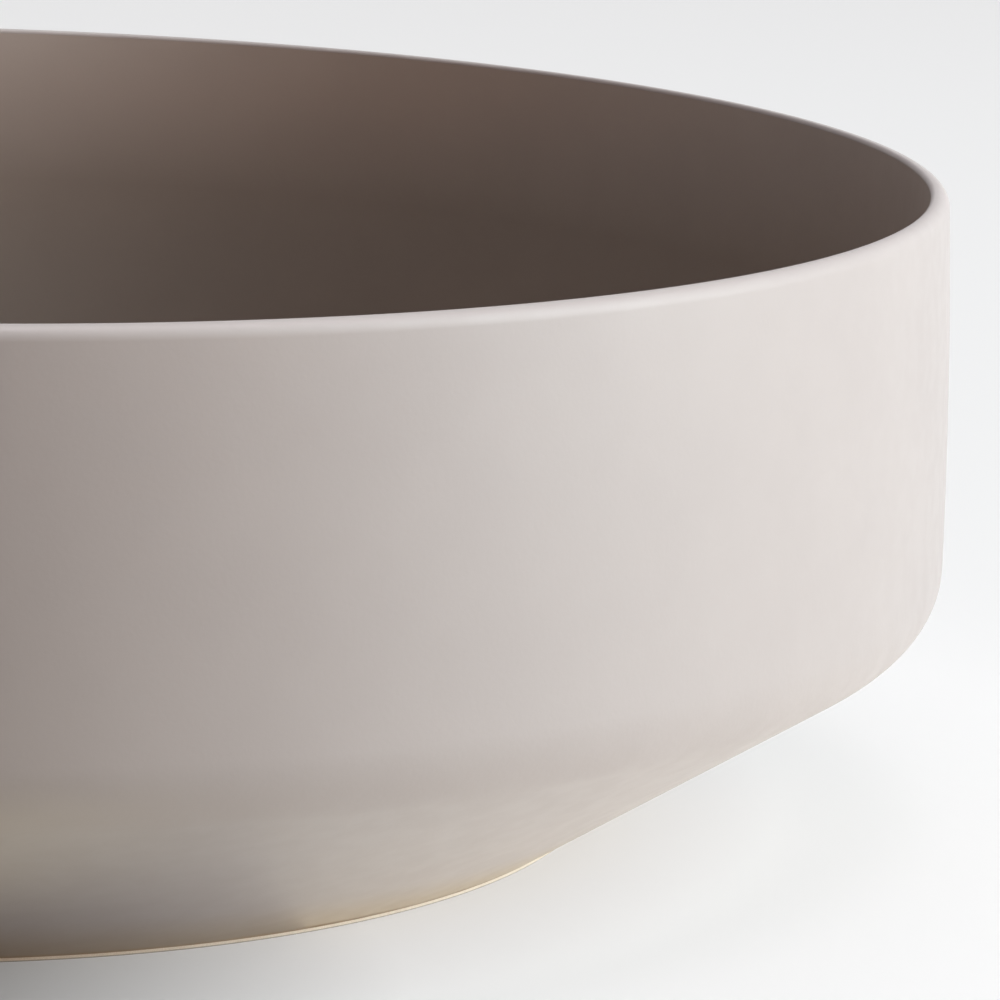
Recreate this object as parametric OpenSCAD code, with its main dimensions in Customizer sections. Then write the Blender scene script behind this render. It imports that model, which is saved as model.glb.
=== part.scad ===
// Serving bowl: an upright wall on a straight cone that stands on a flat, bare clay foot.
// A fired clay body carries three glaze coats: inside, outside and underside.
// Lengths are in millimetres. The bowl's axis is Z and the table is at z = 0.

/* [Bowl] */
// Outside diameter at the lip
lip_d = 269.2; // [230:0.1:340]
// How far the wall stands out at its bottom corner, past the lip
wall_lean = 1.4; // [0:0.1:6]
// How far the wall bows out, where the lines of its upper and lower half cross
wall_bow = 0.7; // [0.1:0.1:2]
// Height of the bowl
bowl_h = 82.6; // [60:0.1:140]
// Height at which the lines of the wall and the cone cross
corner_z = 28.9; // [16:0.1:45]
// Rounding of the outside corner between wall and cone
corner_r = 10.3; // [2:0.1:20]

/* [Wall] */
// Rounding of the lip on its outer side
lip_outer_r = 1.8; // [0.8:0.1:4]
// Rounding of the lip on its inner side
lip_inner_r = 0.6; // [0.5:0.1:3]
// Thickness of the cone and of the wall at its bottom corner
wall_t = 4.6; // [3:0.1:8]
// Thickness of the bottom
floor_t = 4.5; // [3:0.1:8]
// Rounding of the inside corner between wall and cone
inner_corner_r = 12; // [4:0.5:20]
// Rounding between the inside of the cone and the floor
floor_r = 25; // [10:1:40]

/* [Foot] */
// Outside diameter of the foot
foot_d = 183.2; // [150:0.1:215]
// Width of the bare ring that stands on the table
foot_ring_w = 7; // [4:0.5:15]
// Height of the bare clay band below the glaze
foot_band_h = 0.5; // [0.3:0.1:0.9]
// Rounding of the edges of the bare ring
foot_edge_r = 0.2; // [0.1:0.05:0.25]
// Depth of the recess under the bottom
recess_h = 2.5; // [1.5:0.1:5]
// Rounding between the wall of the recess and its ceiling
recess_r = 1.5; // [0.5:0.1:1.6]

/* [Glaze] */
// Thickness of the glaze coats
glaze_t = 0.35; // [0.2:0.05:0.5]

/* [Hidden] */

clay_colour = [0.92, 0.86, 0.77];
outside_colour = [0.73, 0.70, 0.68];
inside_colour = [0.71, 0.66, 0.63];

// Straight steps in each rounding, and in a full turn about the axis
arc_steps = 12;
turn_steps = 180;

// Share of the wall, between the roundings of lip and corner, over which the bow is spread
bow_spread = 0.9;

lip_r = lip_d / 2;
lip_t = lip_outer_r + lip_inner_r;
corner_line_r = lip_r + wall_lean;
foot_r = foot_d / 2;
ring_inner_r = foot_r - foot_ring_w;
floor_z = recess_h + floor_t;

// The inside of the cone runs parallel to its outside, one wall thickness in
cone_slope = atan2(corner_z - foot_band_h, corner_line_r - foot_r);
inner_corner_line_r = corner_line_r - wall_t;
inner_corner_z = corner_z + wall_t * tan(45 - cone_slope / 2);
floor_edge_r = inner_corner_line_r - (inner_corner_z - floor_z) / tan(cone_slope);

// The bow lies midway between the roundings of lip and corner
wall_top_z = bowl_h - lip_outer_r;
wall_bottom_z = corner_z + corner_r * tan(45 - cone_slope / 2);
bow_z = (wall_top_z + wall_bottom_z) / 2;
bow_line_r = lip_r + wall_lean * (bowl_h - bow_z) / (bowl_h - corner_z) + wall_bow;
bow_turn = atan2(bow_line_r - lip_r, bowl_h - bow_z) + atan2(bow_line_r - corner_line_r, bow_z - corner_z);
bow_r = bow_spread * (wall_top_z - bow_z) / tan(bow_turn / 2);

// The wall of the recess leans in at 45 degrees
recess_edge_r = ring_inner_r - (recess_h - foot_band_h);

// Paths are corners [r, z, rounding], walked with the clay on the right hand
skin = [
    [0, floor_z, 0],
    [floor_edge_r, floor_z, floor_r],
    [inner_corner_line_r, inner_corner_z, inner_corner_r],
    [lip_r - lip_t, bowl_h, lip_inner_r],
    [lip_r, bowl_h, lip_outer_r],
    [bow_line_r, bow_z, bow_r],
    [corner_line_r, corner_z, corner_r],
    [foot_r, foot_band_h, 0]
];
foot = [
    [foot_r, foot_band_h, 0],
    [foot_r, 0, foot_edge_r],
    [ring_inner_r, 0, foot_edge_r],
    [ring_inner_r, foot_band_h, 0]
];
underside = [
    [ring_inner_r, foot_band_h, 0],
    [recess_edge_r, recess_h, recess_r],
    [0, recess_h, 0]
];

// Directions of the cuts at which a coat ends
along_axis = [0, 1];
level = [1, 0];

function spot(corner) = [corner.x, corner.y];
function turned(v, angle) = [v.x * cos(angle) - v.y * sin(angle), v.x * sin(angle) + v.y * cos(angle)];
function right_of(way) = [way.y, -way.x];
function reversed(points) = [for (i = [len(points) - 1 : -1 : 0]) points[i]];

// Direction of travel from corner i of a path to the next corner
function way(path, i) =
    let (step = spot(path[i + 1]) - spot(path[i]))
    step / norm(step);

// Points round corner i of a path, set in towards the clay by depth
function rounding(path, i, depth) =
    let (
        before = way(path, i - 1),
        after = way(path, i),
        turn = atan2(before.x * after.y - before.y * after.x, before * after),
        side = sign(turn),
        radius = path[i].z,
        outward = side * right_of(before),
        centre = spot(path[i]) - before * radius * tan(abs(turn) / 2) - outward * radius
    )
    [for (k = [0 : arc_steps]) centre + (radius + side * depth) * turned(outward, turn * k / arc_steps)];

// First or last point of a path, slid along its cut until it is set in by depth
function cut_end(corner, travel, cut, depth) = spot(corner) + cut * depth / (cut * right_of(travel));

// The inside from the middle of the floor to the lip, set in by depth
function inside_line(depth) = concat(
    [cut_end(skin[0], way(skin, 0), along_axis, depth)],
    rounding(skin, 1, depth),
    rounding(skin, 2, depth),
    [rounding(skin, 3, depth)[0]]
);

// The lip, the wall and the cone down to the foot, set in by depth
function outside_line(depth) = concat(
    rounding(skin, 3, depth),
    rounding(skin, 4, depth),
    rounding(skin, 5, depth),
    rounding(skin, 6, depth),
    [cut_end(skin[7], way(skin, 6), level, depth)]
);

// The bare ring from the outer glaze edge to the inner one
function foot_line() = concat(
    [spot(foot[0])],
    rounding(foot, 1, 0),
    rounding(foot, 2, 0),
    [spot(foot[3])]
);

// The recess from the bare ring to the middle of its ceiling, set in by depth
function underside_line(depth) = concat(
    [cut_end(underside[0], way(underside, 0), level, depth)],
    rounding(underside, 1, depth),
    [cut_end(underside[2], way(underside, 1), along_axis, depth)]
);

module turned_solid(outline) {
    rotate_extrude($fn = turn_steps)
        polygon(outline);
}

module coat(face, back) {
    turned_solid(concat(face, reversed(back)));
}

module clay_body() {
    color(clay_colour)
        turned_solid(concat(
            inside_line(glaze_t),
            outside_line(glaze_t),
            foot_line(),
            underside_line(glaze_t)
        ));
}

module outside_glaze() {
    color(outside_colour)
        coat(outside_line(0), outside_line(glaze_t));
}

module inside_glaze() {
    color(inside_colour)
        coat(inside_line(0), inside_line(glaze_t));
}

module underside_glaze() {
    color(outside_colour)
        coat(underside_line(0), underside_line(glaze_t));
}

clay_body();
outside_glaze();
inside_glaze();
underside_glaze();
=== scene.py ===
"""Serving bowl: a fired clay body in three glaze coats, turned from outlines, on a pale studio floor."""

import math
from collections import namedtuple

import bpy
from bpy.props import FloatProperty, FloatVectorProperty, PointerProperty
from mathutils import Matrix, Vector


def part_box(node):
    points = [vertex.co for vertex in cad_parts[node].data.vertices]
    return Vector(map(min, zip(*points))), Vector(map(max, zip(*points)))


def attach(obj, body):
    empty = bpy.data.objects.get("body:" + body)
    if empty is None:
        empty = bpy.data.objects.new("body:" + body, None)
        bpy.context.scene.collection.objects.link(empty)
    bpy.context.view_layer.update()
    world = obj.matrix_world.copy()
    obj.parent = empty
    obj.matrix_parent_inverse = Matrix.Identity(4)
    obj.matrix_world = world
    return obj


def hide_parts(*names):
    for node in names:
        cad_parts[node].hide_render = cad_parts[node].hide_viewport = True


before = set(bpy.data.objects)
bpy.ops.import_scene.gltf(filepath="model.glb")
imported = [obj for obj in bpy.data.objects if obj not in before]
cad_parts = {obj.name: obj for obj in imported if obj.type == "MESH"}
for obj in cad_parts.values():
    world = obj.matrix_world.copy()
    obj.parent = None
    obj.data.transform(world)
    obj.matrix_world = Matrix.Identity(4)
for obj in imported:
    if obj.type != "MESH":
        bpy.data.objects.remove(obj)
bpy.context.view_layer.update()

bl_info = {
    "name": "Serving bowl",
    "version": (1, 0, 0),
    "blender": (4, 5, 0),
    "location": "3D View > Sidebar > Bowl",
    "description": "Models a glazed stoneware serving bowl piece by piece, with a studio floor to stand on",
    "category": "Object",
}

BODY = "root"

# Heights and the coat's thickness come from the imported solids
CLAY_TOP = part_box("clay_body")[1].z
COAT_BOTTOM, COAT_TOP = (corner.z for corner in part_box("outside_glaze"))

# How finely an outline is drawn and turned
LINE_STEP = 0.005
ARC_STEP = math.radians(4)
FEWEST_ARC_STEPS = 5
TURN_STEPS = 288
MERGE_DISTANCE = 1e-6
SMOOTH_ANGLE = math.radians(30)

# Share of the wall, between the roundings of lip and corner, over which its bow is spread
BOW_SPREAD = 0.9

# Patterns of noise in the finishes, as a scale per metre and a number of finer layers
CLOUDS = (60, 3)
EDGE_WAVER = (120, 2)
SHEEN_PATCHES = (260, 3)
GLAZE_GRAIN = (1500, 2)
CLAY_GRAIN = (7000, 2)

# The middle part of each pattern's range, which carries its whole change
GLAZE_RANGE = (0.3, 0.7)
CLAY_RANGE = (0.35, 0.65)

# How far the glaze's edge wavers in height, and its roughness about the mean
WAVER_HEIGHT = 0.0001
SHEEN_CHANGE = 0.04

# Relief of the surfaces
GLAZE_RELIEF = {"Strength": 0.06, "Distance": 0.0002}
CLAY_RELIEF = {"Strength": 0.3, "Distance": 0.0001}
CLAY_ROUGHNESS = 0.85

# Sockets of a mix node that is set to colours
MIX_SHARE, MIX_FIRST, MIX_SECOND, MIX_RESULT = 0, 6, 7, 2

# The stage: the floor's side, the steepness over which the horizon fades upwards, and the picture's frame
FLOOR_SIZE = 40
HORIZON_FADE = (0.2, 0.7)
FRAME_WIDTH = 36

Corner = namedtuple("Corner", "r z rounding", defaults=(0.0,))


# Settings

def length(name, description, default):
    return FloatProperty(
        name=name, description=description, default=default, min=0, precision=5, unit="LENGTH"
    )


def angle(name, description, degrees):
    return FloatProperty(name=name, description=description, default=math.radians(degrees), unit="ROTATION")


def share(name, description, default):
    return FloatProperty(name=name, description=description, default=default, min=0, max=1, subtype="FACTOR")


def level(name, description, default):
    return FloatProperty(name=name, description=description, default=default, min=0)


def place(name, description, default):
    return FloatVectorProperty(name=name, description=description, default=default, size=3, unit="LENGTH")


def colour(name, description, default):
    return FloatVectorProperty(
        name=name, description=description, default=default, min=0, max=1, size=3, subtype="COLOR"
    )


class BowlSizes(bpy.types.PropertyGroup):
    """Sizes of the bowl, in metres"""

    lip_radius: length("Lip radius", "Outside radius at the lip", 0.1346)
    wall_lean: length("Wall lean", "How far the wall stands out at its bottom corner, past the lip", 0.0014)
    wall_bow: length("Wall bow", "How far the wall bows out, where its halves' lines cross", 0.0007)
    height: length("Height", "Height of the bowl", COAT_TOP)
    corner_height: length("Corner height", "Height at which the lines of wall and cone cross", 0.0289)
    corner_rounding: length("Corner rounding", "Rounding between the wall and the cone, outside", 0.0103)
    lip_outer_rounding: length("Lip rounding, outside", "Rounding of the lip on its outer side", 0.0018)
    lip_inner_rounding: length("Lip rounding, inside", "Rounding of the lip on its inner side", 0.0006)
    wall_thickness: length("Wall thickness", "Thickness of the cone and of the wall at its bottom", 0.0046)
    floor_thickness: length("Floor thickness", "Thickness of the bottom", 0.0045)
    inner_corner_rounding: length("Inner corner", "Rounding between the wall and the cone, inside", 0.012)
    floor_rounding: length("Floor rounding", "Rounding between the cone and the floor, inside", 0.025)
    foot_radius: length("Foot radius", "Outside radius of the foot", 0.0916)
    foot_ring_width: length("Foot ring width", "Width of the bare ring on the table", 0.007)
    foot_band_height: length("Foot band", "Height of the bare clay below the glaze", COAT_BOTTOM)
    foot_edge_rounding: length("Foot edges", "Rounding of the edges of the bare ring", 0.0002)
    recess_height: length("Recess", "Depth of the recess under the bottom", 0.0025)
    recess_rounding: length("Recess rounding", "Rounding between the recess's wall and its ceiling", 0.0015)
    glaze_thickness: length("Glaze thickness", "Thickness of the glaze coats", COAT_TOP - CLAY_TOP)
    glaze_edge_rounding: length("Glaze edge", "Rounding of the edge at which a coat stops", 0.0002)


class BowlFinish(bpy.types.PropertyGroup):
    """Colours and sheen of the bowl"""

    outside_light: colour("Outside, light", "Lighter tone of the outside glaze", (0.546, 0.487, 0.471))
    outside_dark: colour("Outside, dark", "Darker tone of the outside glaze", (0.53, 0.472, 0.457))
    # Painted shade: a darker tint multiplied into the outside glaze low down, fading out towards the lip
    outside_low: colour("Outside, low", "Tint low on the outside, gone at the lip", (0.86, 0.86, 0.86))
    outside_low_height: length("Outside, low height", "Height below which that tint is full", 0.03)
    inside_light: colour("Inside, light", "Lighter tone of the inside glaze", (0.63, 0.55, 0.51))
    inside_dark: colour("Inside, dark", "Darker tone of the inside glaze", (0.605, 0.528, 0.49))
    # Painted shade: a darker, warmer tint multiplied into the inside glaze below the lip, fading out towards
    # the lip
    inside_low: colour("Inside, low", "Tint low on the inside, gone at the lip", (0.6, 0.57, 0.54))
    inside_low_height: length("Inside, low height", "Height below which that tint is full", 0.06)
    foot_tint: colour("Foot tint", "Warm tint of the outside glaze above the foot", (1, 0.92, 0.73))
    foot_tint_height: length("Foot tint height", "Height over which the warm tint fades", 0.008)
    thin_glaze: colour("Thin glaze", "Tan of the glaze's edge, where it thins out", (0.44, 0.31, 0.18))
    thin_glaze_height: length("Thin glaze height", "Height over which the glaze's edge thins out", 0.0008)
    clay_light: colour("Clay, light", "Lighter grains of the bare clay", (0.97, 0.9, 0.79))
    clay_dark: colour("Clay, dark", "Darker grains of the bare clay", (0.9, 0.82, 0.7))
    # Painted shadow: a dark tint on the foot's outer edge where it meets the table
    contact_shadow_tint: colour("Contact tint", "Tint of the foot's outer edge, at the table", (0.3, 0.27, 0.25))
    contact_shadow_height: length("Contact height", "Height over which that tint fades", 0.00025)
    glaze_sheen: share("Glaze sheen", "Strength of the glazes' reflection", 0.5)
    outside_roughness: share("Outside roughness", "Mean roughness of the outside glaze", 0.47)
    inside_roughness: share("Inside roughness", "Mean roughness of the inside glaze", 0.47)


class BowlStage(bpy.types.PropertyGroup):
    """Camera, lamps and floor"""

    camera_distance: length("Camera distance", "Level distance from the bowl's axis to the camera", 0.7425)
    camera_height: length("Camera height", "Height of the camera above the table", 0.18706)
    camera_pan: angle("Camera pan", "Turn of the camera to the right of the bowl's axis", 6.062)
    camera_pitch: angle("Camera pitch", "Tilt of the camera below level", 11.327)
    camera_roll: angle("Camera roll", "Roll of the camera, anticlockwise", 1.967)
    camera_lens: level("Camera lens", "Focal length in millimetres", 208.1)
    key_bearing: angle("Key bearing", "Direction of the main soft lamp, from the camera to the right", 74)
    key_elevation: angle("Key elevation", "Height of the main soft lamp above level, as an angle", 24.5)
    key_distance: length("Key distance", "Distance from the bowl to the main soft lamp", 2)
    key_width: length("Key width", "Width of the main soft lamp", 1.3)
    key_height: length("Key height", "Height of the main soft lamp", 2.4)
    key_level: level("Key level", "Brightness of a white face square to the main soft lamp", 1.54)
    key_tint: colour("Key tint", "Colour of the main soft lamp", (0.885, 0.98, 1))
    front_bearing: angle("Front bearing", "Direction of the front lamp, from the camera to the right", 25)
    front_elevation: angle("Front elevation", "Height of the warm front lamp above level, as an angle", 7)
    front_distance: length("Front distance", "Distance from the bowl to the warm front lamp", 4)
    front_width: length("Front width", "Width of the warm front lamp", 2.5)
    front_height: length("Front height", "Height of the warm front lamp", 0.5)
    front_level: level("Front level", "Brightness of a white face square to the warm front lamp", 0.085)
    front_tint: colour("Front tint", "Colour of the warm front lamp", (1, 0.45, 0.15))
    top_bearing: angle("Top bearing", "Direction of the lamp overhead, from the camera to the right", 130)
    top_elevation: angle("Top elevation", "Height of the lamp overhead above level, as an angle", 84)
    top_distance: length("Top distance", "Distance from the bowl to the lamp overhead", 4)
    top_width: length("Top width", "Width of the lamp overhead", 3)
    top_height: length("Top height", "Depth of the lamp overhead", 3)
    top_level: level("Top level", "Brightness of a white face square to the lamp overhead", 0.52)
    top_tint: colour("Top tint", "Colour of the lamp overhead", (1, 0.95, 0.98))
    right_card_place: place("Right card place", "Middle of the right card of light", (0.17, -0.11, 0.001))
    right_card_width: length("Right card width", "Width of that card", 0.25)
    right_card_depth: length("Right card depth", "Depth of that card", 0.25)
    right_card_level: level("Right card level", "Brightness of that card", 0.245)
    right_card_tint: colour("Right card tint", "Colour of that card", (1, 0.94, 0.72))
    left_card_place: place("Left card place", "Middle of the left card of light", (-0.06, -0.145, 0.001))
    left_card_width: length("Left card width", "Width of that card", 0.2)
    left_card_depth: length("Left card depth", "Depth of that card", 0.06)
    left_card_level: level("Left card level", "Brightness of that card", 0.44)
    left_card_tint: colour("Left card tint", "Colour of that card", (1, 0.95, 0.62))
    ambient_level: level("Ambient level", "Brightness of the surrounding light", 0)
    floor_colour: colour("Floor", "Colour of the floor as it is seen", (0.418, 0.412, 0.41))
    floor_lift: level("Floor lift", "Brightness added to the floor as it is seen", 0.5)
    shade_place: place("Shade place", "Middle of the shade in front of the bowl", (-0.05, -0.1, 0))
    shade_near: length("Shade near", "Distance from that place at which the shade begins to fade", 0.06)
    shade_far: length("Shade far", "Distance from that place at which the shade has faded", 0.11)
    shade_lift: level("Shade lift", "Brightness added to the floor in that shade", 0.17)
    bounce_place: place("Bounce place", "Middle of the floor that throws light back", (0.2, 0, 0))
    bounce_near: length("Bounce near", "Distance from that place at which the bounce begins to fade", 0.15)
    bounce_far: length("Bounce far", "Distance from that place at which the bounce has faded", 0.3)
    near_bounce: colour("Near bounce", "Light that the floor throws back beside the bowl", (1, 1, 1))
    far_bounce: colour("Far bounce", "Light that the floor throws back far off", (0.14, 0.14, 0.14))
    horizon_colour: colour("Horizon", "Colour of the space beyond the floor", (0.85, 0.85, 0.85))
    overhead_colour: colour("Overhead", "Colour of the space above, seen in the sheen", (0.15, 0.15, 0.15))


# Outlines, in the plane of the radius and the height

def spot(corner):
    return Vector((corner.r, corner.z))


def way(start, end):
    return (spot(end) - spot(start)).normalized()


def right_of(direction):
    return Vector((direction.y, -direction.x))


def turn_between(before, after):
    """Angle from one direction to the next, positive to the left"""
    return math.atan2(before.x * after.y - before.y * after.x, before.dot(after))


def cut_level(corner, direction, depth):
    """An end of a path, slid level until it lies to the right of the path by depth"""
    return Corner(corner.r + depth / right_of(direction).x, corner.z)


def set_in(path, depth):
    """A path moved to its right by depth, with roundings that keep their centres"""
    moved = []
    for i, corner in enumerate(path):
        after = way(*path[i : i + 2]) if i + 1 < len(path) else way(*path[i - 1 : i + 1])
        before = way(*path[i - 1 : i + 1]) if i else after
        normals = right_of(before), right_of(after)
        point = spot(corner) + depth * (normals[0] + normals[1]) / (1 + normals[0].dot(normals[1]))
        side = math.copysign(1, turn_between(before, after))
        moved.append(Corner(point.x, point.y, corner.rounding + side * depth if corner.rounding else 0))
    return moved


def rounding_start(before, corner, after):
    """Where the rounding of a corner begins"""
    turn = turn_between(way(before, corner), way(corner, after))
    point = spot(corner) - way(before, corner) * corner.rounding * math.tan(abs(turn) / 2)
    return Corner(point.x, point.y)


class BowlOutlines:
    """Outlines of the four pieces, worked out from the sizes"""

    def __init__(self, sizes):
        band = sizes.foot_band_height
        lip_thickness = sizes.lip_outer_rounding + sizes.lip_inner_rounding
        wall_foot_radius = sizes.lip_radius + sizes.wall_lean
        floor_height = sizes.recess_height + sizes.floor_thickness
        ring_radius = sizes.foot_radius - sizes.foot_ring_width

        # The inside of the cone runs parallel to its outside, one wall thickness in
        slope = math.atan2(sizes.corner_height - band, wall_foot_radius - sizes.foot_radius)
        inner_corner_radius = wall_foot_radius - sizes.wall_thickness
        inner_corner_height = sizes.corner_height + sizes.wall_thickness * math.tan(math.pi / 4 - slope / 2)
        floor_radius = inner_corner_radius - (inner_corner_height - floor_height) / math.tan(slope)

        # The bow lies midway between the roundings of lip and corner
        wall_top = sizes.height - sizes.lip_outer_rounding
        wall_bottom = sizes.corner_height + sizes.corner_rounding * math.tan(math.pi / 4 - slope / 2)
        bow_height = (wall_top + wall_bottom) / 2
        lean_share = (sizes.height - bow_height) / (sizes.height - sizes.corner_height)
        bow_radius = sizes.lip_radius + sizes.wall_lean * lean_share + sizes.wall_bow
        upper_lean = math.atan2(bow_radius - sizes.lip_radius, sizes.height - bow_height)
        lower_lean = math.atan2(bow_radius - wall_foot_radius, bow_height - sizes.corner_height)
        bow_rounding = BOW_SPREAD * (wall_top - bow_height) / math.tan((upper_lean + lower_lean) / 2)

        # The wall of the recess leans in at 45 degrees
        recess_radius = ring_radius - (sizes.recess_height - band)

        inside = [
            Corner(0, floor_height),
            Corner(floor_radius, floor_height, sizes.floor_rounding),
            Corner(inner_corner_radius, inner_corner_height, sizes.inner_corner_rounding),
        ]
        outside = [
            Corner(sizes.lip_radius - lip_thickness, sizes.height, sizes.lip_inner_rounding),
            Corner(sizes.lip_radius, sizes.height, sizes.lip_outer_rounding),
            Corner(bow_radius, bow_height, bow_rounding),
            Corner(wall_foot_radius, sizes.corner_height, sizes.corner_rounding),
        ]
        foot_edge = Corner(sizes.foot_radius, band)
        ring = [
            Corner(sizes.foot_radius, 0, sizes.foot_edge_rounding),
            Corner(ring_radius, 0, sizes.foot_edge_rounding),
        ]
        ring_edge = Corner(ring_radius, band)
        recess = [
            Corner(recess_radius, sizes.recess_height, sizes.recess_rounding),
            Corner(0, sizes.recess_height),
        ]

        # The same corners on the clay, under the glaze
        depth = sizes.glaze_thickness
        skin_back = set_in(inside + outside + [foot_edge], depth)
        inside_back, outside_back = skin_back[: len(inside)], skin_back[len(inside) : -1]
        foot_edge_back = cut_level(foot_edge, way(outside[-1], foot_edge), depth)
        ring_edge_back = cut_level(ring_edge, way(ring_edge, recess[0]), depth)
        recess_back = set_in([ring_edge] + recess, depth)[1:]

        # The inside and outside coats meet where the lip begins to round
        seam = rounding_start(inside[-1], *outside[:2])
        seam_back = rounding_start(inside_back[-1], *outside_back[:2])

        glaze_edge = sizes.glaze_edge_rounding
        self.clay = (
            inside_back + outside_back + [foot_edge_back, foot_edge]
            + ring + [ring_edge, ring_edge_back] + recess_back
        )
        self.inside = inside + [seam, seam_back] + inside_back[::-1]
        self.outside = (
            [seam] + outside + [foot_edge._replace(rounding=glaze_edge), foot_edge_back]
            + outside_back[::-1] + [seam_back, seam]
        )
        self.underside = (
            recess[::-1] + [ring_edge._replace(rounding=glaze_edge), ring_edge_back] + recess_back
        )


# Modelling

def start_piece(name, corner):
    """Add a plane, merge it to one vertex and set that on the outline's first corner"""
    bpy.ops.object.select_all(action="DESELECT")
    bpy.ops.mesh.primitive_plane_add(size=LINE_STEP, location=(0, 0, 0))
    piece = bpy.context.object
    piece.name = piece.data.name = name
    bpy.ops.object.mode_set(mode="EDIT")
    bpy.ops.mesh.select_all(action="SELECT")
    bpy.ops.mesh.merge(type="CENTER")
    bpy.ops.transform.translate(value=(corner.r, 0, corner.z))
    return piece


def draw_line(start, end):
    """Extrude the last vertex to a place in even steps"""
    reach = (end - start).length
    if reach < MERGE_DISTANCE:
        return
    steps = math.ceil(reach / LINE_STEP)
    step = (end - start) / steps
    for _ in range(steps):
        bpy.ops.mesh.extrude_vertices_move(TRANSFORM_OT_translate={"value": (step.x, 0, step.y)})


def draw_rounding(here, corner, after):
    """Draw up to a rounding and spin the last vertex along it, and return where it ends"""
    before = (spot(corner) - here).normalized()
    turn = turn_between(before, way(corner, after))
    reach = corner.rounding * math.tan(abs(turn) / 2)
    start = spot(corner) - before * reach
    draw_line(here, start)
    centre = start - right_of(before) * math.copysign(corner.rounding, turn)
    steps = max(FEWEST_ARC_STEPS, round(abs(turn) / ARC_STEP))
    bpy.ops.mesh.spin(steps=steps, angle=turn, center=(centre.x, 0, centre.y), axis=(0, 1, 0))
    return spot(corner) + way(corner, after) * reach


def draw_outline(name, outline):
    """Draw an outline as a chain of edges, with its corners rounded"""
    piece = start_piece(name, outline[0])
    here = spot(outline[0])
    for corner, after in zip(outline[1:], outline[2:]):
        if corner.rounding:
            here = draw_rounding(here, corner, after)
        else:
            draw_line(here, spot(corner))
            here = spot(corner)
    draw_line(here, spot(outline[-1]))
    return piece


def turn_piece(name, outline):
    """Spin an outline about the bowl's axis into a closed, smooth piece"""
    piece = draw_outline(name, outline)
    bpy.ops.mesh.select_all(action="SELECT")
    bpy.ops.mesh.spin(steps=TURN_STEPS, angle=2 * math.pi, center=(0, 0, 0), axis=(0, 0, 1))
    bpy.ops.mesh.select_all(action="SELECT")
    bpy.ops.mesh.remove_doubles(threshold=MERGE_DISTANCE)
    bpy.ops.mesh.normals_make_consistent(inside=False)
    bpy.ops.mesh.select_all(action="DESELECT")
    bpy.ops.mesh.select_non_manifold()
    bpy.ops.object.mode_set(mode="OBJECT")
    if any(vertex.select for vertex in piece.data.vertices):
        raise RuntimeError(f"{name} isn't closed")
    bpy.ops.object.shade_smooth_by_angle(angle=SMOOTH_ANGLE)
    return piece


def finish_piece(piece, node, material):
    """Dress a piece and set it in the place of its node"""
    piece.data.materials.clear()
    piece.data.materials.append(material)
    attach(piece, BODY)
    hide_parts(node)


# Materials

class Wiring:
    """Adds and joins the nodes of one material or world"""

    def __init__(self, owner):
        owner.use_nodes = True
        self.nodes = owner.node_tree.nodes
        self.links = owner.node_tree.links
        self.nodes.clear()

    def add(self, kind, settings=None, **inputs):
        node = self.nodes.new(kind)
        for name, value in (settings or {}).items():
            setattr(node, name, value)
        for name, value in inputs.items():
            self.feed(node.inputs[name.replace("_", " ")], value)
        return node

    def feed(self, socket, value):
        if isinstance(value, bpy.types.NodeSocket):
            self.links.new(value, socket)
        elif socket.type == "RGBA":
            socket.default_value = (*value, 1)
        else:
            socket.default_value = value

    def noise(self, where, scale, detail):
        return self.add("ShaderNodeTexNoise", Vector=where, Scale=scale, Detail=detail).outputs["Fac"]

    def spread(self, value, low, high, to_low=0.0, to_high=1.0, curve="SMOOTHSTEP"):
        """A value carried from one range to another, and held within it"""
        node = self.add(
            "ShaderNodeMapRange", {"interpolation_type": curve},
            Value=value, From_Min=low, From_Max=high, To_Min=to_low, To_Max=to_high,
        )
        return node.outputs["Result"]

    def reach(self, where, centre):
        """Distance of each place from a centre"""
        node = self.add("ShaderNodeVectorMath", {"operation": "DISTANCE"}, Vector=where)
        self.feed(node.inputs[1], centre)
        return node.outputs["Value"]

    def blend(self, amount, first, second, kind="MIX"):
        """One colour passing into another"""
        node = self.add("ShaderNodeMix", {"data_type": "RGBA", "blend_type": kind})
        self.feed(node.inputs[MIX_SHARE], amount)
        self.feed(node.inputs[MIX_FIRST], first)
        self.feed(node.inputs[MIX_SECOND], second)
        return node.outputs[MIX_RESULT]

    def sum(self, first, second):
        node = self.add("ShaderNodeMath", {"operation": "ADD"})
        self.feed(node.inputs[0], first)
        self.feed(node.inputs[1], second)
        return node.outputs[0]

    def both(self, first, second):
        """Two shaders added up"""
        node = self.add("ShaderNodeAddShader")
        self.feed(node.inputs[0], first)
        self.feed(node.inputs[1], second)
        return node.outputs[0]

    def either(self, amount, first, second):
        """One shader passing into another"""
        node = self.add("ShaderNodeMixShader")
        self.feed(node.inputs[0], amount)
        self.feed(node.inputs[1], first)
        self.feed(node.inputs[2], second)
        return node.outputs[0]


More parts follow.
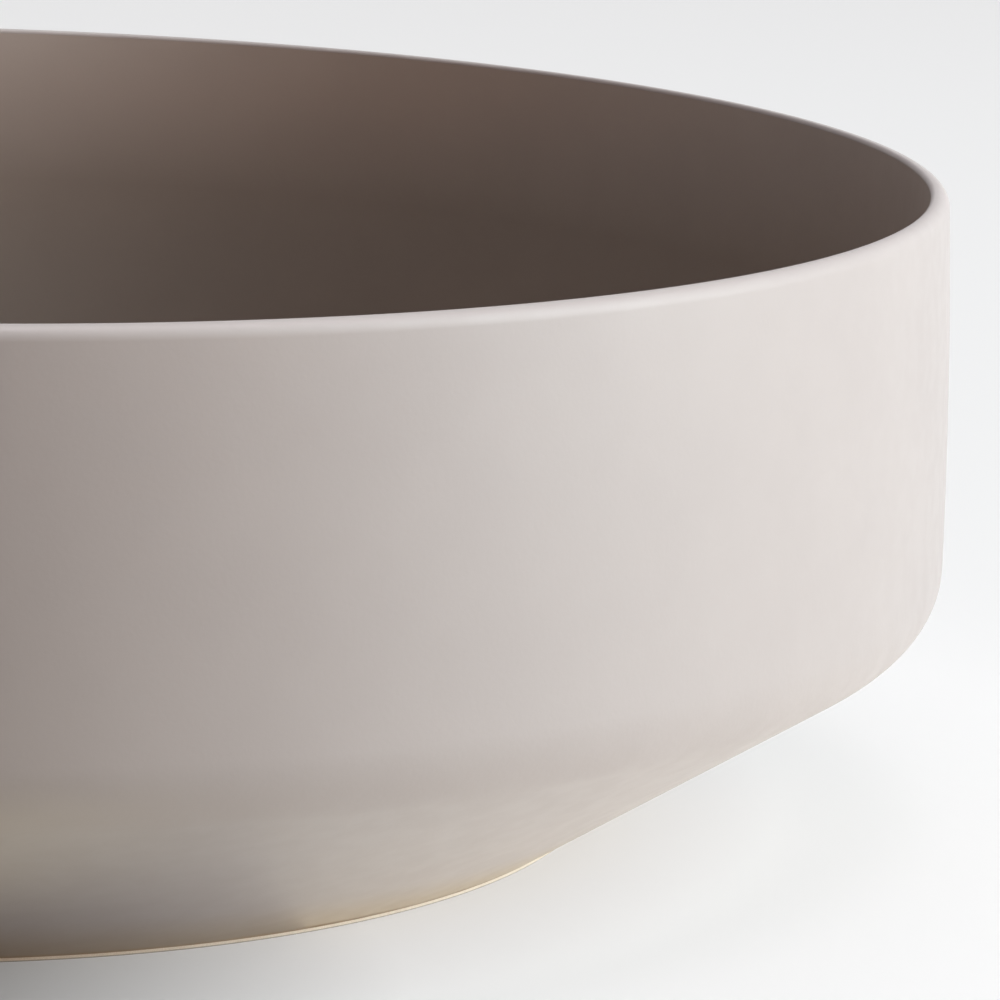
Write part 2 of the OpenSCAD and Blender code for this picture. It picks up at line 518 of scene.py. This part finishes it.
def glaze_material(name, finish, side, edge=None):
    """Satin glaze in clouds of tone, with painted shade that darkens it low down and fades out at the lip,
    and warm and thin above the height of its edge
    """
    light, dark, low, low_height, roughness = (
        getattr(finish, f"{side}_{field}") for field in ("light", "dark", "low", "low_height", "roughness")
    )
    material = bpy.data.materials.new(name)
    wiring = Wiring(material)
    where = wiring.add("ShaderNodeTexCoord").outputs["Object"]
    height = wiring.add("ShaderNodeSeparateXYZ", Vector=where).outputs["Z"]
    clouds = wiring.spread(wiring.noise(where, *CLOUDS), *GLAZE_RANGE)
    # Painted shade: the glaze is multiplied by the low tint, full below its height and gone at the lip
    painted_shade = wiring.spread(height, low_height, COAT_TOP, 1, 0, "LINEAR")
    tone = wiring.blend(painted_shade, wiring.blend(clouds, dark, light), low, "MULTIPLY")
    if edge is not None:
        nearness = wiring.spread(height, edge, edge + finish.foot_tint_height, 1, 0)
        tone = wiring.blend(nearness, tone, finish.foot_tint, "MULTIPLY")
        waver = wiring.spread(wiring.noise(where, *EDGE_WAVER), *GLAZE_RANGE, -WAVER_HEIGHT, WAVER_HEIGHT)
        thinness = wiring.spread(wiring.sum(height, waver), edge, edge + finish.thin_glaze_height, 1, 0)
        tone = wiring.blend(thinness, tone, finish.thin_glaze)
    relief = wiring.add("ShaderNodeBump", Height=wiring.noise(where, *GLAZE_GRAIN), **GLAZE_RELIEF)
    sheen = wiring.spread(
        wiring.noise(where, *SHEEN_PATCHES), *GLAZE_RANGE, roughness - SHEEN_CHANGE, roughness + SHEEN_CHANGE
    )
    shader = wiring.add(
        "ShaderNodeBsdfPrincipled",
        Base_Color=tone,
        Roughness=sheen,
        Specular_IOR_Level=finish.glaze_sheen,
        Normal=relief.outputs["Normal"],
    )
    wiring.add("ShaderNodeOutputMaterial", Surface=shader.outputs["BSDF"])
    return material


def clay_material(name, finish, foot_radius):
    """Bare fired clay: dry, with light and dark grains, and a painted contact shadow that darkens its outer
    edge where it meets the table
    """
    material = bpy.data.materials.new(name)
    wiring = Wiring(material)
    where = wiring.add("ShaderNodeTexCoord").outputs["Object"]
    height = wiring.add("ShaderNodeSeparateXYZ", Vector=where).outputs["Z"]
    grains = wiring.noise(where, *CLAY_GRAIN)
    tone = wiring.blend(wiring.spread(grains, *CLAY_RANGE), finish.clay_dark, finish.clay_light)
    # Painted contact shadow: the outer edge of the foot is darkened just above the table
    edge = finish.contact_shadow_height
    outer = wiring.spread(wiring.reach(where, (0, 0, 0)), foot_radius - 2 * edge, foot_radius - edge)
    contact_shadow = wiring.spread(height, 0, edge, outer, 0)
    tone = wiring.blend(contact_shadow, tone, finish.contact_shadow_tint, "MULTIPLY")
    relief = wiring.add("ShaderNodeBump", Height=grains, **CLAY_RELIEF)
    shader = wiring.add(
        "ShaderNodeBsdfPrincipled",
        Base_Color=tone,
        Roughness=CLAY_ROUGHNESS,
        Normal=relief.outputs["Normal"],
    )
    wiring.add("ShaderNodeOutputMaterial", Surface=shader.outputs["BSDF"])
    return material


def seen_rays(wiring):
    """1 for rays that show the stage itself, and 0 for the light that it throws back"""
    rays = wiring.add("ShaderNodeLightPath").outputs
    shown = wiring.sum(rays["Is Camera Ray"], rays["Is Glossy Ray"])
    return wiring.sum(shown, rays["Is Transmission Ray"])


def floor_material(name, settings):
    """Pale matte floor with a shade in front, which throws back less light far off; clear from below"""
    material = bpy.data.materials.new(name)
    material.cycles.emission_sampling = "NONE"
    wiring = Wiring(material)
    where = wiring.add("ShaderNodeTexCoord").outputs["Object"]
    farness = wiring.spread(
        wiring.reach(where, settings.bounce_place), settings.bounce_near, settings.bounce_far, curve="LINEAR"
    )
    bounce = wiring.blend(farness, settings.near_bounce, settings.far_bounce)
    brightness = wiring.spread(
        wiring.reach(where, settings.shade_place), settings.shade_near, settings.shade_far,
        settings.shade_lift, settings.floor_lift, "LINEAR",
    )
    plain = wiring.add("ShaderNodeBsdfDiffuse", Color=settings.floor_colour).outputs["BSDF"]
    lift = wiring.add("ShaderNodeEmission", Color=(1, 1, 1), Strength=brightness).outputs["Emission"]
    shown = wiring.both(plain, lift)
    thrown = wiring.add("ShaderNodeBsdfDiffuse", Color=bounce).outputs["BSDF"]
    shader = wiring.either(seen_rays(wiring), thrown, shown)
    clear = wiring.add("ShaderNodeBsdfTransparent").outputs["BSDF"]
    below = wiring.add("ShaderNodeNewGeometry").outputs["Backfacing"]
    wiring.add("ShaderNodeOutputMaterial", Surface=wiring.either(below, shader, clear))
    return material


# Operators

class BOWL_OT_clay_body(bpy.types.Operator):
    """Turn the fired clay body with its bare foot ring"""

    bl_idname = "bowl.clay_body"
    bl_label = "Clay body"
    bl_options = {"REGISTER", "UNDO"}

    def execute(self, context):
        sizes, finish = context.scene.bowl_sizes, context.scene.bowl_finish
        piece = turn_piece("bowl_clay_body", BowlOutlines(sizes).clay)
        material = clay_material("bare_stoneware", finish, sizes.foot_radius)
        finish_piece(piece, "clay_body", material)
        return {"FINISHED"}


class BOWL_OT_outside_glaze(bpy.types.Operator):
    """Turn the outside coat, from the lip down to its edge above the foot"""

    bl_idname = "bowl.outside_glaze"
    bl_label = "Outside glaze"
    bl_options = {"REGISTER", "UNDO"}

    def execute(self, context):
        sizes, finish = context.scene.bowl_sizes, context.scene.bowl_finish
        piece = turn_piece("bowl_outside_glaze", BowlOutlines(sizes).outside)
        material = glaze_material("matte_taupe_glaze", finish, "outside", sizes.foot_band_height)
        finish_piece(piece, "outside_glaze", material)
        return {"FINISHED"}


class BOWL_OT_inside_glaze(bpy.types.Operator):
    """Turn the inside coat, from the floor up to the lip"""

    bl_idname = "bowl.inside_glaze"
    bl_label = "Inside glaze"
    bl_options = {"REGISTER", "UNDO"}

    def execute(self, context):
        finish = context.scene.bowl_finish
        piece = turn_piece("bowl_inside_glaze", BowlOutlines(context.scene.bowl_sizes).inside)
        material = glaze_material("satin_taupe_glaze", finish, "inside")
        finish_piece(piece, "inside_glaze", material)
        return {"FINISHED"}


class BOWL_OT_underside_glaze(bpy.types.Operator):
    """Turn the coat in the recess under the bottom"""

    bl_idname = "bowl.underside_glaze"
    bl_label = "Underside glaze"
    bl_options = {"REGISTER", "UNDO"}

    def execute(self, context):
        sizes, finish = context.scene.bowl_sizes, context.scene.bowl_finish
        piece = turn_piece("bowl_underside_glaze", BowlOutlines(sizes).underside)
        material = glaze_material("recess_taupe_glaze", finish, "outside", sizes.foot_band_height)
        finish_piece(piece, "underside_glaze", material)
        return {"FINISHED"}


def direction(bearing, elevation):
    """Direction from the bowl at a bearing, from the camera to the right, and a height as an angle"""
    return Vector((
        math.sin(bearing) * math.cos(elevation),
        -math.cos(bearing) * math.cos(elevation),
        math.sin(elevation),
    ))


class BOWL_OT_stage(bpy.types.Operator):
    """Set up the floor, the lamps, the cards of light, the space around and the camera"""

    bl_idname = "bowl.stage"
    bl_label = "Stage"
    bl_options = {"REGISTER", "UNDO"}

    def execute(self, context):
        settings = context.scene.bowl_stage
        self.lay_floor(settings)
        for name in ("key", "front", "top"):
            self.hang_lamp(context, settings, name)
        for name in ("right_card", "left_card"):
            self.lay_card(context, settings, name)
        self.fill_space(context, settings)
        self.place_camera(context, settings)
        context.scene.view_settings.view_transform = "Standard"
        return {"FINISHED"}

    def lay_floor(self, settings):
        bpy.ops.object.select_all(action="DESELECT")
        bpy.ops.mesh.primitive_plane_add(size=FLOOR_SIZE, location=(0, 0, 0))
        floor = bpy.context.object
        floor.name = "floor"
        floor.data.materials.append(floor_material("pale_floor", settings))

    def hang_lamp(self, context, settings, name):
        bearing, elevation, distance, width, height, brightness, tint = (
            getattr(settings, f"{name}_{field}")
            for field in ("bearing", "elevation", "distance", "width", "height", "level", "tint")
        )
        toward = direction(bearing, elevation)
        lamp = bpy.data.lights.new(name, "AREA")
        lamp.shape = "RECTANGLE"
        lamp.size = width
        lamp.size_y = height
        lamp.energy = brightness * (math.pi * distance) ** 2
        lamp.color = tint
        holder = bpy.data.objects.new(name, lamp)
        holder.location = toward * distance
        holder.rotation_euler = toward.to_track_quat("Z", "Y").to_euler()
        holder.visible_camera = False
        context.scene.collection.objects.link(holder)

    def lay_card(self, context, settings, name):
        """A card of light on the floor, facing up under the overhang of the bowl"""
        middle, width, depth, brightness, tint = (
            getattr(settings, f"{name}_{field}") for field in ("place", "width", "depth", "level", "tint")
        )
        lamp = bpy.data.lights.new(name, "AREA")
        lamp.shape = "ELLIPSE"
        lamp.size = width
        lamp.size_y = depth
        lamp.energy = brightness * math.pi * (math.pi / 4 * width * depth)
        lamp.color = tint
        card = bpy.data.objects.new(name, lamp)
        card.location = middle
        card.rotation_euler = (math.pi, 0, 0)
        card.visible_camera = False
        context.scene.collection.objects.link(card)

    def fill_space(self, context, settings):
        world = bpy.data.worlds.new("studio")
        wiring = Wiring(world)
        way_up = wiring.add("ShaderNodeTexCoord").outputs["Generated"]
        steepness = wiring.add("ShaderNodeSeparateXYZ", Vector=way_up).outputs["Z"]
        tone = wiring.blend(
            wiring.spread(steepness, *HORIZON_FADE), settings.horizon_colour, settings.overhead_colour
        )
        ambient = wiring.add("ShaderNodeBackground", Color=(1, 1, 1), Strength=settings.ambient_level)
        shown = wiring.add("ShaderNodeBackground", Color=tone, Strength=1)
        surface = wiring.either(seen_rays(wiring), ambient.outputs[0], shown.outputs[0])
        wiring.add("ShaderNodeOutputWorld", Surface=surface)
        context.scene.world = world

    def place_camera(self, context, settings):
        pan, pitch, roll = settings.camera_pan, settings.camera_pitch, settings.camera_roll
        forward = -direction(-pan, pitch)
        right = Vector((math.cos(pan), -math.sin(pan), 0))
        up = right.cross(forward)
        turned_right = right * math.cos(roll) + up * math.sin(roll)
        turned_up = up * math.cos(roll) - right * math.sin(roll)
        axes = Matrix((turned_right, turned_up, -forward)).transposed()
        lens = bpy.data.cameras.new("camera")
        lens.lens = settings.camera_lens
        lens.sensor_width = FRAME_WIDTH
        camera = bpy.data.objects.new("camera", lens)
        stand = Matrix.Translation((0, -settings.camera_distance, settings.camera_height))
        camera.matrix_world = stand @ axes.to_4x4()
        context.scene.collection.objects.link(camera)
        context.scene.camera = camera


class BOWL_PT_panel(bpy.types.Panel):
    """Lists the pieces of the bowl and its settings"""

    bl_idname = "BOWL_PT_panel"
    bl_label = "Serving bowl"
    bl_space_type = "VIEW_3D"
    bl_region_type = "UI"
    bl_category = "Bowl"

    def draw(self, context):
        for operator in OPERATORS:
            self.layout.operator(operator.bl_idname)
        for name, group in GROUPS.items():
            settings = getattr(context.scene, name)
            box = self.layout.box()
            for field in group.__annotations__:
                box.prop(settings, field)


OPERATORS = (
    BOWL_OT_clay_body,
    BOWL_OT_outside_glaze,
    BOWL_OT_inside_glaze,
    BOWL_OT_underside_glaze,
    BOWL_OT_stage,
)
GROUPS = {"bowl_sizes": BowlSizes, "bowl_finish": BowlFinish, "bowl_stage": BowlStage}


def register():
    for group in GROUPS.values():
        bpy.utils.register_class(group)
    for operator in OPERATORS:
        bpy.utils.register_class(operator)
    bpy.utils.register_class(BOWL_PT_panel)
    for name, group in GROUPS.items():
        setattr(bpy.types.Scene, name, PointerProperty(type=group))


def unregister():
    for name in GROUPS:
        delattr(bpy.types.Scene, name)
    bpy.utils.unregister_class(BOWL_PT_panel)
    for operator in OPERATORS:
        bpy.utils.unregister_class(operator)
    for group in GROUPS.values():
        bpy.utils.unregister_class(group)


def main():
    register()
    bpy.ops.bowl.clay_body()
    bpy.ops.bowl.outside_glaze()
    bpy.ops.bowl.inside_glaze()
    bpy.ops.bowl.underside_glaze()
    bpy.ops.bowl.stage()


if __name__ == "__main__":
    main()
